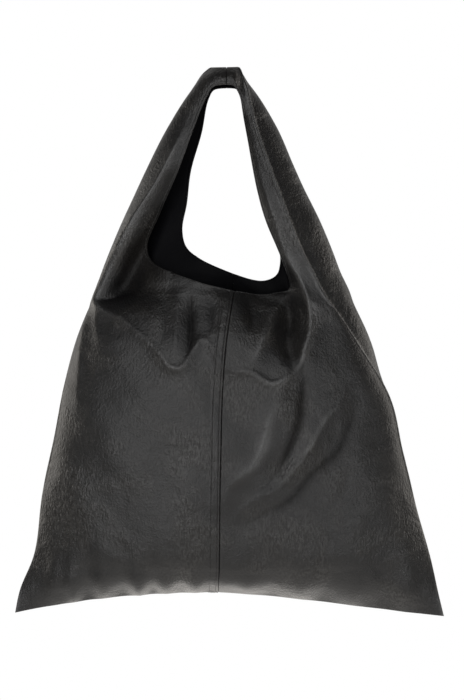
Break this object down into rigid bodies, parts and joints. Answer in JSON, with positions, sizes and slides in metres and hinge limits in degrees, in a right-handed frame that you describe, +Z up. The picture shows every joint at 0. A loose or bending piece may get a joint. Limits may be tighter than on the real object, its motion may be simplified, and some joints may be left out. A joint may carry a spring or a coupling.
{
  "type": "slouch tote bag",
  "caption": "Slouchy one-shoulder tote in supple black imitation leather, its front and back panels running up into the strap, shown hanging and filled.",
  "frame": {"origin": "flat underside of the strap's crown, where the strap rests on a hook", "axes": "+Z up along the hanging bag, -Y out of the bag's front, +X to the viewer's right when facing the front"},
  "size_m": [0.4934, 0.117, 0.6304],
  "materials": {
    "front_left_leather": "soft grained satin",
    "front_right_leather": "soft grained satin",
    "back_left_leather": "soft grained satin",
    "back_right_leather": "soft grained satin",
    "left_facing_leather": "smooth matt",
    "right_facing_leather": "smooth matt",
    "front_lining_cloth": "woven matt",
    "back_lining_cloth": "woven matt"
  },
  "bodies": {
    "root": {"front_left_panel": "front_left_leather", "front_right_panel": "front_right_leather", "back_left_panel": "back_left_leather", "back_right_panel": "back_right_leather", "left_facing": "left_facing_leather", "right_facing": "right_facing_leather", "front_lining": "front_lining_cloth", "back_lining": "back_lining_cloth"}
  },
  "joints": []
}
